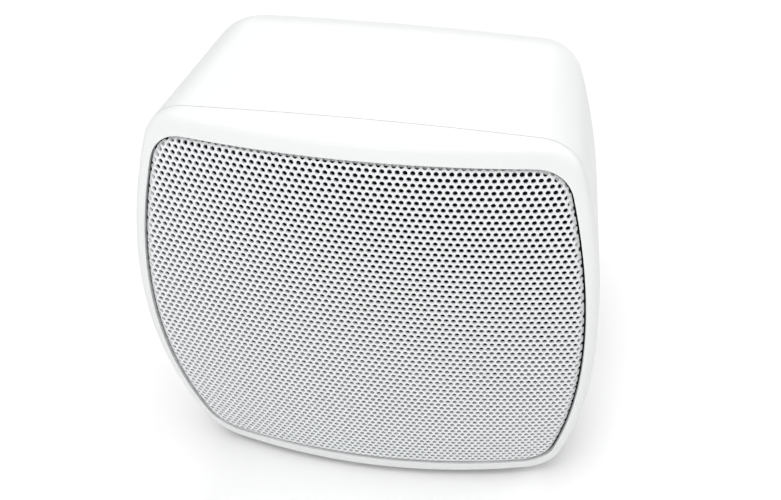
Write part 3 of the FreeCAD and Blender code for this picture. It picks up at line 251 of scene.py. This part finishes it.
def grain_into(tree, principled, height, low, high, relief):
    """Lets one pattern drive the gloss between two roughnesses and a relief in millimetres."""
    gloss = add_node(tree, "MapRange", {"Value": height, "To Min": low, "To Max": high})
    tree.links.new(gloss.outputs["Result"], principled.inputs["Roughness"])
    bump = add_node(tree, "Bump", {"Height": height, "Distance": relief * MM, "Strength": 1.0})
    tree.links.new(bump.outputs["Normal"], principled.inputs["Normal"])


def drift_into(tree, principled, place, light, dark, width):
    """Lets the colour drift slowly between two near shades."""
    drift = add_node(tree, "TexNoise", {"Vector": place, "Scale": per(width), "Detail": 3.0})
    shade = add_node(tree, "Mix", {
        "Factor_Float": drift.outputs["Fac"], "A_Color": linear(light), "B_Color": linear(dark),
    }, data_type="RGBA")
    tree.links.new(shade.outputs[MIXED_COLOUR], principled.inputs["Base Color"])
    return shade.outputs[MIXED_COLOUR]


# ---------------------------------------------------------------- materials


def paper_backdrop():
    """Matt seamless paper: an even white with a faint tooth."""
    material, tree, principled, place = new_material("seamless_paper")
    drift_into(tree, principled, place, "eeeeee", "ececec", 60)
    tooth = add_node(tree, "TexNoise", {"Vector": place, "Scale": per(1.5), "Detail": 2.0})
    grain_into(tree, principled, tooth.outputs["Fac"], 0.85, 0.95, 0.02)
    return material


def moulded(name, light, dark, low, high, grain, relief, **shader):
    """Injection-moulded plastic: an even colour, and the fine tooth of a spark-eroded mould."""
    material, tree, principled, place = new_material(name, IOR=1.54, **shader)
    drift_into(tree, principled, place, light, dark, 30)
    tooth = add_node(tree, "TexNoise", {"Vector": place, "Scale": per(grain), "Detail": 2.0})
    grain_into(tree, principled, tooth.outputs["Fac"], low, high, relief)
    return material


def powder_coated_steel():
    """Powder-coated steel: a satin white skin with soft orange peel, just cooler than the ABS."""
    material, tree, principled, place = new_material("powder_coated_steel", IOR=1.5)
    drift_into(tree, principled, place, "e3e5e6", "e0e2e3", 18)
    peel = add_node(tree, "TexNoise", {"Vector": place, "Scale": per(0.7), "Detail": 1.0})
    grain_into(tree, principled, peel.outputs["Fac"], 0.34, 0.46, 0.01)
    return material


def woven(name, light, dark, thread, relief, low, high, **shader):
    """Plain-woven cloth: warp and weft cross at the thread spacing, so the gloss breaks up, and the
    gaps between threads are painted darker.
    """
    material, tree, principled, place = new_material(name, **shader)
    colour = drift_into(tree, principled, place, light, dark, 6)
    # A wave repeats every twentieth of its scale's width.
    pattern = {"Vector": place, "Scale": per(thread) / 20, "Distortion": 0.4}
    warp = add_node(tree, "TexWave", pattern, bands_direction="X")
    weft = add_node(tree, "TexWave", pattern, bands_direction="Z")
    weave = add_node(tree, "Math", {
        "Value": warp.outputs["Fac"], "Value_001": weft.outputs["Fac"],
    }, operation="MULTIPLY")
    # the gaps between threads are painted darker: painted shade on the cloths, and the weave's own
    # tone under the laminate's resist
    lit = add_node(tree, "Mix", {
        "Factor_Float": weave.outputs["Value"], "A_Color": linear(dark), "B_Color": colour,
    }, data_type="RGBA")
    tree.links.new(lit.outputs[MIXED_COLOUR], principled.inputs["Base Color"])
    grain_into(tree, principled, weave.outputs["Value"], low, high, relief)
    return material


def bare_metal(name, light, dark, low, high, grain, relief, stretch=(1, 1, 1)):
    """Plated, drawn or rolled metal: tight reflections, with streaks the way that it was worked."""
    material, tree, principled, place = new_material(name, Metallic=1.0)
    drift_into(tree, principled, place, light, dark, 12)
    run = add_node(tree, "Mapping", {"Vector": place, "Scale": stretch})
    streak = add_node(tree, "TexNoise", {
        "Vector": run.outputs["Vector"], "Scale": per(grain), "Detail": 4.0,
    })
    grain_into(tree, principled, streak.outputs["Fac"], low, high, relief)
    return material


def fibrous(name, light, dark, fibre, relief, low, high):
    """Pressed fibre, as in a paper cone or hardboard: short strands in two near tones."""
    material, tree, principled, place = new_material(name, IOR=1.45)
    strands = add_node(tree, "TexNoise", {
        "Vector": place, "Scale": per(fibre), "Detail": 6.0, "Roughness": 0.7, "Distortion": 2.5,
    })
    shade = add_node(tree, "Mix", {
        "Factor_Float": strands.outputs["Fac"], "A_Color": linear(light), "B_Color": linear(dark),
    }, data_type="RGBA")
    tree.links.new(shade.outputs[MIXED_COLOUR], principled.inputs["Base Color"])
    grain_into(tree, principled, strands.outputs["Fac"], low, high, relief)
    return material


def cellular(name, light, dark, cell, relief, low, high):
    """Open-cell foam or sintered ceramic: pits of one size, with painted shade at their bottoms."""
    material, tree, principled, place = new_material(name, IOR=1.45)
    pits = add_node(tree, "TexVoronoi", {"Vector": place, "Scale": per(cell)})
    # painted shade: the colour darkens towards each pit's bottom
    shade = add_node(tree, "Mix", {
        "Factor_Float": pits.outputs["Distance"], "A_Color": linear(dark), "B_Color": linear(light),
    }, data_type="RGBA")
    tree.links.new(shade.outputs[MIXED_COLOUR], principled.inputs["Base Color"])
    grain_into(tree, principled, pits.outputs["Distance"], low, high, relief)
    return material


def finishes():
    """One material for each of the record's material slots."""
    return {
        # ABS from a finely eroded mould: clean satin white, bright but never mirror-like
        "white_abs": moulded("moulded_white_abs", "e4e5e5", "e1e2e2", 0.36, 0.46, 0.3, 0.004),
        # the front sheet
        "white_steel_mesh": powder_coated_steel(),
        # polyester acoustic cloth: swallows light, so the holes look deep
        "black_cloth": woven("black_acoustic_cloth", "121213", "060607", 0.3, 0.05, 0.85, 0.95,
                             Specular_IOR_Level=0.2),
        # hidden ABS of the baffle and tray: coarser tooth, no polish
        "grey_abs": moulded("moulded_grey_abs", "8b8d90", "83858a", 0.5, 0.6, 0.5, 0.01),
        # control panel: a slightly glossier, light grey ABS
        "light_grey_abs": moulded("moulded_light_grey_abs", "d3d5d7", "cdcfd2",
                                  0.34, 0.42, 0.3, 0.004),
        # volume knob: mid grey, polished by fingers on its crown
        "knob_abs": moulded("moulded_knob_abs", "9fa2a6", "979a9f", 0.28, 0.38, 0.25, 0.003),
        # pad-printed ink of the signs: flat, just darker than what it is on
        "printed_ink": moulded("pad_printed_ink", "55585d", "4f5257", 0.4, 0.5, 0.2, 0.001),
        # silicone buttons: matt, faintly translucent
        "button_rubber": moulded("silicone_button_rubber", "c2c5c9", "babdc2",
                                 0.55, 0.65, 0.3, 0.004),
        # thermoplastic rubber feet: dry and even
        "grey_rubber": moulded("grey_foot_rubber", "6c6e72", "64666b", 0.65, 0.78, 0.35, 0.01),
        # nitrile surround: darker, with a soft sheen on the roll
        "black_rubber": moulded("black_nitrile_rubber", "1d1d1f", "151517", 0.45, 0.6, 0.4, 0.006),
        # polyurethane foam gasket
        "black_foam": cellular("black_gasket_foam", "2c2c2e", "0e0e0f", 0.45, 0.12, 0.85, 0.95),
        # zinc-plated steel: bright with a faint blue cast
        "zinc_steel": bare_metal("zinc_plated_steel", "c9cdd2", "bcc1c8", 0.22, 0.36, 0.4, 0.004),
        # stoved enamel on the pressed basket
        "black_painted_steel": moulded("stoved_black_enamel", "232325", "1b1b1d",
                                       0.3, 0.42, 0.8, 0.008),
        # sintered magnet: charcoal, dull, finely pitted
        "ferrite": cellular("sintered_ferrite", "3c3c3f", "2b2b2e", 0.5, 0.01, 0.5, 0.65),
        # rolled foil former, streaked round the coil
        "aluminium_foil": bare_metal("rolled_aluminium", "d9dadc", "cdced1", 0.25, 0.4, 0.3, 0.003,
                                     stretch=(1, 8, 1)),
        # enamelled wire: warm, each turn catching the light
        "copper_wire": bare_metal("enamelled_copper_wire", "c77b4a", "a9602f",
                                  0.25, 0.4, 0.25, 0.02, stretch=(0.2, 1, 0.2)),
        # moulded paper cone
        "pulp_paper": fibrous("moulded_pulp_paper", "3b3a39", "262524", 0.8, 0.03, 0.75, 0.9),
        # phenolic-dipped cotton of the spider
        "woven_suspension": woven("dipped_cotton_weave", "c9a25e", "8f6c33", 0.6, 0.08, 0.6, 0.8),
        # hardboard terminal strip
        "fibre_board": fibrous("pressed_fibre_board", "7a5a3a", "5c4128", 0.6, 0.02, 0.7, 0.85),
        # PVC insulation, extruded smooth
        "lead_insulation": moulded("pvc_lead_insulation", "b3282b", "a52226",
                                   0.35, 0.45, 0.6, 0.004),
        # glass-epoxy laminate under green resist, its weave just showing
        "circuit_laminate": woven("green_circuit_laminate", "1f6a3c", "1a5a33", 0.5, 0.01, 0.3, 0.4,
                                  IOR=1.55),
        # transfer-moulded epoxy of the chip and capacitors
        "black_resin": moulded("moulded_black_resin", "242426", "1d1d1f", 0.45, 0.6, 0.3, 0.006),
        # cast acrylic window over the light
        "clear_resin": moulded("cast_clear_resin", "eef3f0", "e6ede9", 0.04, 0.08, 0.8, 0.001,
                               Transmission_Weight=0.85),
        # nickel plate on the contacts and sockets
        "nickel": bare_metal("nickel_plate", "cfcac0", "c3bdb2", 0.15, 0.28, 0.3, 0.002),
        # shrink sleeve on the cell: glossy film with a slight ripple
        "cell_wrap": moulded("shrink_film_cell_wrap", "2f6fb0", "2964a2", 0.15, 0.25, 1.5, 0.02),
    }


def dress_cad(materials):
    """Gives each carried-over node its slot's finish."""
    slots = {row["node"]: row["material_slot"] for row in frame["record"]["subparts"]}
    for name, thing in frame["nodes"].items():
        thing.data.materials.clear()
        thing.data.materials.append(materials[slots[name]])


# ---------------------------------------------------------------- the domed front


class Pillow:
    """A four-cornered outline with bowed sides, about its own centre, in millimetres."""

    def __init__(self, half_x, half_z, side_bow, top_bow, corner):
        self.half_x, self.half_z = half_x, half_z
        self.side_bow, self.top_bow, self.corner = side_bow, top_bow, corner
        self.side_middle = Vector((half_x - side_bow, 0))
        self.top_middle = Vector((0, half_z - top_bow))
        self.corner_middle = self.meeting(side_bow - corner, top_bow - corner)
        self.corner_start = self.bearing(self.side_middle)
        self.corner_end = self.bearing(self.top_middle)

    def meeting(self, side, top):
        """Where two circles about the bow centres cross, up and to the right."""
        apart = self.top_middle - self.side_middle
        length = apart.length
        along = (side * side - top * top + length * length) / (2 * length)
        off = math.sqrt(side * side - along * along)
        step = apart / length
        foot = self.side_middle + step * along
        across = Vector((-step.y, step.x)) * off
        return max(foot + across, foot - across, key=lambda spot: spot.x + spot.y)

    def bearing(self, middle):
        way = self.corner_middle - middle
        return math.atan2(way.y, way.x)

    def nearest(self, x, z):
        """How far a point lies inside the outline, and its direction to the outline."""
        spot = Vector((abs(x), abs(z)))
        out = spot - self.corner_middle
        radius = self.corner
        if not self.corner_start <= math.atan2(out.y, out.x) <= self.corner_end:
            side, top = spot - self.side_middle, spot - self.top_middle
            if self.side_bow - side.length < self.top_bow - top.length:
                out, radius = side, self.side_bow
            else:
                out, radius = top, self.top_bow
        way = out.normalized()
        return radius - out.length, Vector((math.copysign(way.x, x), math.copysign(way.y, z)))

    def inset(self, x, z):
        return self.nearest(x, z)[0]

    def quarter(self, step):
        arcs = (
            (self.side_middle, self.side_bow, 0, self.corner_start),
            (self.corner_middle, self.corner, self.corner_start, self.corner_end),
            (self.top_middle, self.top_bow, self.corner_end, math.pi / 2),
        )
        for middle, radius, start, end in arcs:
            count = max(1, round(radius * (end - start) / step))
            for i in range(count):
                angle = start + (end - start) * i / count
                yield middle + Vector((math.cos(angle), math.sin(angle))) * radius

    def ring(self, step):
        """Points round the outline, anticlockwise seen from the front."""
        first = list(self.quarter(step))
        last = Vector((0, self.half_z))
        top = [Vector((-p.x, p.y)) for p in reversed(first[1:])]
        upper = first + [last] + top
        left = Vector((-self.half_x, 0))
        lower = [Vector((p.x, -p.y)) for p in reversed(upper[1:])]
        return upper + [left] + lower

    def shrunk(self, by):
        return Pillow(self.half_x - by, self.half_z - by, self.side_bow - by, self.top_bow - by,
                      self.corner - by)


RECESS = Pillow(GRILLE_X, GRILLE_Z, SIDE_BOW, TOP_BOW, GRILLE_CORNER)
BLANK = RECESS.shrunk(GRILLE_PLAY - (FOLD_TURN - math.sin(FOLD_TURN)) * FOLD_RADIUS)


def crown(x, z):
    """How far the domed front has fallen back at a point."""
    across, up = (x / GRILLE_X) ** 2, (z / GRILLE_Z) ** 2
    return SAG_SIDE * across + SAG_TOP * up + SAG_TWIST * across * up


def inward(x, z):
    """Direction through the sheet, from its face to its back."""
    across, up = (x / GRILLE_X) ** 2, (z / GRILLE_Z) ** 2
    slope_x = 2 * x / GRILLE_X ** 2 * (SAG_SIDE + SAG_TWIST * up)
    slope_z = 2 * z / GRILLE_Z ** 2 * (SAG_TOP + SAG_TWIST * across)
    return Vector((-slope_x, 1, -slope_z)).normalized()


def on_front(x, z, depth):
    """Where a point of the flat blank ends up, at a depth below its face, in metres.

    The blank's border is rolled back, so its holes close up towards the edge.
    """
    inset, out = BLANK.nearest(x, z)
    turn = max(0, FOLD_TURN - max(inset, 0) / FOLD_RADIUS)
    fall = FOLD_RADIUS * (1 - math.cos(turn))
    drawn_in = (turn - math.sin(turn)) * FOLD_RADIUS
    x, z = x - out.x * drawn_in, z - out.y * drawn_in
    face = Vector((x - GRILLE_SLIDE, GRILLE_FRONT + crown(x, z) + fall,
                   z + GRILLE_MIDDLE - GRILLE_DROP))
    away = Vector((out.x, 0, out.y))
    return (face + (inward(x, z) * math.cos(turn) - away * math.sin(turn)) * depth) * MM


def pressed(flat, half, sag):
    """Where a point of the flat sheet ends up. Pressing the dome draws the borders in."""
    return flat - (2 * sag / half ** 2) ** 2 * flat ** 3 / 6


def hole_centres():
    """Centres on the flat sheet, of every hole that the blank's edge does not cut away."""
    rows = math.ceil(GRILLE_Z / ROW) + 1
    columns = math.ceil(GRILLE_X / PITCH) + 2
    for row in range(-rows, rows + 1):
        z = pressed(FIRST_HOLE[1] + row * ROW, GRILLE_Z, SAG_TOP)
        start = FIRST_HOLE[0] + PITCH / 2 * ((row + 1) % 2)
        for column in range(-columns, columns + 1):
            x = pressed(start + column * PITCH, GRILLE_X, SAG_SIDE)
            if BLANK.inset(x, z) > -HOLE_RADIUS / 2:
                yield Vector((x, z))


def in_hole(offset):
    """Whether a point this far from a hole's centre is inside its corners."""
    sector = 2 * math.pi / HOLE_CORNERS
    turned = math.atan2(offset.y, offset.x) % sector - sector / 2
    return offset.length * math.cos(turned) < HOLE_RADIUS * math.cos(sector / 2)


def punched_triangles():
    """The flat sheet between its holes, as points and triangles."""
    points = []
    edges = []

    def add_loop(loop):
        start, count = len(points), len(loop)
        points.extend(loop)
        edges.extend((start + i, start + (i + 1) % count) for i in range(count))

    add_loop(BLANK.ring(RIM_STEP))
    border = list(range(len(points)))
    for i in range(1, FOLD_RINGS + 1):
        add_loop(BLANK.shrunk(FOLD_RADIUS * FOLD_TURN * i / FOLD_RINGS).ring(FOLD_STEP))
    corners = [Vector((math.cos(a), math.sin(a))) * HOLE_RADIUS for a in
               (2 * math.pi * i / HOLE_CORNERS for i in range(HOLE_CORNERS))]
    centres = list(hole_centres())
    for centre in centres:
        add_loop([centre + corner for corner in corners])
    points, _, triangles, _, _, _ = delaunay_2d_cdt(points, edges, [border], INSIDE, JOIN)
    near = KDTree(len(centres))
    for i, centre in enumerate(centres):
        near.insert((centre.x, centre.y, 0), i)
    near.balance()
    kept = []
    for triangle in triangles:
        middle = sum((points[i] for i in triangle), Vector((0, 0))) / 3
        _, nearest, _ = near.find((middle.x, middle.y, 0))
        if BLANK.inset(middle.x, middle.y) > 0 and not in_hole(middle - centres[nearest]):
            kept.append(tuple(triangle))
    used = sorted({i for triangle in kept for i in triangle})
    place = {old: new for new, old in enumerate(used)}
    return [points[i] for i in used], [tuple(place[i] for i in triangle) for triangle in kept]


def punched_grille(material):
    """The sheet's face and back, with a wall round each hole and round the rim."""
    points, faces = punched_triangles()
    count = len(points)
    front = [on_front(p.x, p.y, 0) for p in points]
    back = [on_front(p.x, p.y, SHEET) for p in points]
    sides = {(t[i], t[(i + 1) % 3]) for t in faces for i in range(3)}
    rims = [(a, b) for a, b in sides if (b, a) not in sides]
    behind = [(a + count, c + count, b + count) for a, b, c in faces]
    walls = [(b, a, a + count, b + count) for a, b in rims]
    mesh = bpy.data.meshes.new("punched_grille")
    mesh.from_pydata(front + back, [], list(faces) + behind + walls)
    mesh.polygons.foreach_set("use_smooth", [True] * len(mesh.polygons))
    sharp = {frozenset(rim) for rim in rims} | {frozenset((a + count, b + count)) for a, b in rims}
    for edge in mesh.edges:
        edge.use_edge_sharp = frozenset(edge.vertices) in sharp
    grille = add_object("punched_grille", mesh)
    mesh.materials.append(material)
    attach(grille, "casing")
    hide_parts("grille")


def acoustic_cloth(material):
    """Cloth stretched behind the sheet, with its edge pinched under the rolled border and laid out
    under the gap round the sheet, as painted shade in that gap.
    """
    ring = BLANK.ring(CLOTH_STEP)
    shares = [i / CLOTH_RINGS for i in range(1, CLOTH_RINGS)] + list(CLOTH_EDGE)
    points = [on_front(0, 0, CLOTH_DEPTH)]
    faces = []
    size = len(ring)
    for share in shares:
        points += [on_front(p.x * share, p.y * share, CLOTH_DEPTH) for p in ring]
    # the edge reaches out to the recess wall: partly a real pinched edge, partly a dark sheet laid
    # as painted shade in the gap round the sheet
    for p in ring:
        out = BLANK.nearest(p.x, p.y)[1] * GRILLE_PLAY
        points.append(on_front(p.x, p.y, 0) +
                      Vector((out.x + GRILLE_SLIDE, PINCH, out.y + GRILLE_DROP)) * MM)
    for i in range(size):
        j = (i + 1) % size
        faces.append((0, 1 + i, 1 + j))
        for step in range(len(shares)):
            inner, outer = 1 + step * size, 1 + (step + 1) * size
            faces.append((inner + i, outer + i, outer + j, inner + j))
    mesh = bpy.data.meshes.new("acoustic_cloth")
    mesh.from_pydata(points, [], faces)
    mesh.polygons.foreach_set("use_smooth", [True] * len(mesh.polygons))
    mesh.materials.append(material)
    cloth = add_object("acoustic_cloth", mesh)
    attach(cloth, "casing")
    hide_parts("grille_cloth")


# ---------------------------------------------------------------- pieces about an axis


def add_mesh(name, points, faces, material, smooth=False):
    """A closed mesh object from points in millimetres, with every face turned outwards."""
    mesh = bpy.data.meshes.new(name)
    mesh.from_pydata([Vector(p) * MM for p in points], [], faces)
    turned = bmesh.new()
    turned.from_mesh(mesh)
    bmesh.ops.recalc_face_normals(turned, faces=turned.faces)
    turned.to_mesh(mesh)
    turned.free()
    mesh.polygons.foreach_set("use_smooth", [smooth] * len(mesh.polygons))
    mesh.materials.append(material)
    return add_object(name, mesh)


def rear_of(node):
    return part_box(node)[1].y / MM


def middle_of(node):
    low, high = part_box(node)
    return Vector(((low.x + high.x) / 2, (low.z + high.z) / 2)) / MM


def radius_of(node):
    low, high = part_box(node)
    return (high.x - low.x) / 2 / MM


def rows_of_faces(rows, count, closed=False):
    """Quads between rows of points that each go once round an axis."""
    for row in range(rows if closed else rows - 1):
        here, there = row * count, (row + 1) % rows * count
        for i in range(count):
            j = (i + 1) % count
            yield here + i, here + j, there + j, there + i


def corrugated_spider(material):
    """Springy disc from the basket's floor to the coil former. Its waves let the cone travel."""
    rim, neck = radius_of("spider"), radius_of("coil_former") + SPIDER_PLAY
    seat = rear_of("spider") - SPIDER_SHEET / 2
    middle = middle_of("spider")
    profile = []
    for side in (1, -1):
        for i in range(SPIDER_STEPS + 1):
            share = i / SPIDER_STEPS
            wave = math.sin(2 * math.pi * SPIDER_WAVES * share) * math.sin(math.pi * share) ** 0.5
            y = seat - SPIDER_RISE * share + SPIDER_WAVE * wave + SPIDER_SHEET / 2 * side
            profile.append((rim + (neck - rim) * share, y))
    count = SPIDER_SPOKES
    bottom = len(profile) // 2
    points = []
    for radius, y in profile[:bottom] + profile[:bottom - 1:-1]:
        for i in range(count):
            angle = 2 * math.pi * i / count
            points.append((middle.x + radius * math.cos(angle), y,
                           middle.y + radius * math.sin(angle)))
    spider = add_mesh("corrugated_spider", points,
                      list(rows_of_faces(len(profile), count, closed=True)), material, smooth=True)
    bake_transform(spider)
    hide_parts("spider")


# ---------------------------------------------------------------- rear details


def arc(middle, radius, start, end, count):
    """Points round an arc, with angles in degrees clockwise from the top as seen from the rear."""
    angles = [math.radians(start + (end - start) * i / count) for i in range(count + 1)]
    return [middle + Vector((-math.sin(a), math.cos(a))) * radius for a in angles]


def raised_lines(name, strokes, width, face, height, material, body):
    """Strokes that stand proud of a rear face. Their edges are chamfered."""
    points = []
    faces = []
    chamfer = min(height, width / 4)
    for stroke in strokes:
        first = len(points)
        for i, spot in enumerate(stroke):
            way = (stroke[min(i + 1, len(stroke) - 1)] - stroke[max(i - 1, 0)]).normalized()
            side = Vector((-way.y, way.x))
            for reach, rise in ((width / 2, 0), (width / 2 - chamfer, height),
                                (chamfer - width / 2, height), (-width / 2, 0)):
                edge = spot + side * reach
                points.append((edge.x, face + rise, edge.y))
        for i in range(len(stroke) - 1):
            a = first + i * 4
            faces += [(a + k, a + (k + 1) % 4, a + (k + 1) % 4 + 4, a + k + 4) for k in range(4)]
        last = len(points) - 4
        faces += [tuple(range(first, first + 4)), tuple(range(last, last + 4))]
    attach(add_mesh(name, points, faces, material), body)


def fluted_knob(material, ink):
    """Knob with finger flutes round its skirt, a rounded crown and a dished top."""
    radius = radius_of("volume_knob")
    start, end = (corner.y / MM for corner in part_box("volume_knob"))
    centre = middle_of("volume_knob")
    skirt = radius - KNOB_CROWN
    profile = [(KNOB_BORE, start + KNOB_BORE_DEPTH), (KNOB_BORE, start),
               (radius - KNOB_CHAMFER, start), (radius, start + KNOB_CHAMFER),
               (radius, end - KNOB_CROWN)]
    for i in range(1, KNOB_CROWN_STEPS + 1):
        turn = math.pi / 2 * i / KNOB_CROWN_STEPS
        profile.append((skirt + KNOB_CROWN * math.cos(turn),
                        end - KNOB_CROWN + KNOB_CROWN * math.sin(turn)))
    profile += [(skirt - KNOB_RIM, end), (skirt - KNOB_RIM - KNOB_SLOPE, end - KNOB_DISH),
                (KNOB_DISH_MIDDLE, end - KNOB_DISH)]
    count = KNOB_FLUTES * FLUTE_STEPS
    points = []
    for reach, y in profile:
        depth = KNOB_FLUTE * min(1, max(0, (reach - skirt) / KNOB_CROWN))
        for i in range(count):
            angle = 2 * math.pi * i / count
            out = reach - depth * (1 + math.cos(KNOB_FLUTES * angle)) / 2
            points.append((centre.x + out * math.cos(angle), y, centre.y + out * math.sin(angle)))
    faces = list(rows_of_faces(len(profile), count))
    faces.append(tuple(range(count)))
    faces.append(tuple(range(len(points) - count, len(points))))
    knob = add_mesh("fluted_knob", points, faces, material, smooth=True)
    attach(knob, "volume_knob")
    knob.data.set_sharp_from_angle(angle=math.radians(40))
    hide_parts("volume_knob")
    pointer = [centre + Vector((0, skirt - 3.6)), centre + Vector((0, skirt - 1.2))]
    raised_lines("knob_pointer", [pointer], 0.7, end - KNOB_DISH, 0.1, ink, "volume_knob")


def rear_marks(ink, plastic):
    """Marks without words: a volume scale, a power sign, a voice sign, and ribs on the door."""
    knob = middle_of("volume_knob")
    ticks = []
    for i in range(TICKS):
        turn = TICK_TURN * i
        reaches = (TICK_START, TICK_END + TICK_GROWTH * i)
        ticks.append([arc(knob, reach, turn, turn, 1)[0] for reach in reaches])
    raised_lines("volume_scale", ticks, 0.35, rear_of("control_panel"), 0.03, ink, "casing")
    power = middle_of("power_button")
    sign = [arc(power, 1.4, 35, 325, 24), [power + Vector((0, 0.4)), power + Vector((0, 1.8))]]
    raised_lines("power_sign", sign, 0.35, rear_of("power_button"), 0.05, ink, "power_button")
    talk = middle_of("talk_button")
    mouth = talk + Vector((1.9, 0))
    waves = [arc(mouth, reach, 50, 130, 12) for reach in (1.3, 2.5, 3.7)]
    raised_lines("voice_sign", waves, 0.45, rear_of("talk_button"), 0.05, ink, "talk_button")
    door = middle_of("battery_door")
    ribs = [[door + Vector((-5, z)), door + Vector((5, z))] for z in (5.6, 4.4, 3.2)]
    raised_lines("door_ribs", ribs, 0.5, rear_of("battery_door"), 0.35, plastic, "battery_door")


# ---------------------------------------------------------------- making

add_camera()
add_studio()
MATERIALS = finishes()
dress_cad(MATERIALS)
punched_grille(MATERIALS["white_steel_mesh"])
acoustic_cloth(MATERIALS["black_cloth"])
fluted_knob(MATERIALS["knob_abs"], MATERIALS["printed_ink"])
corrugated_spider(MATERIALS["woven_suspension"])
rear_marks(MATERIALS["printed_ink"], MATERIALS["white_abs"])
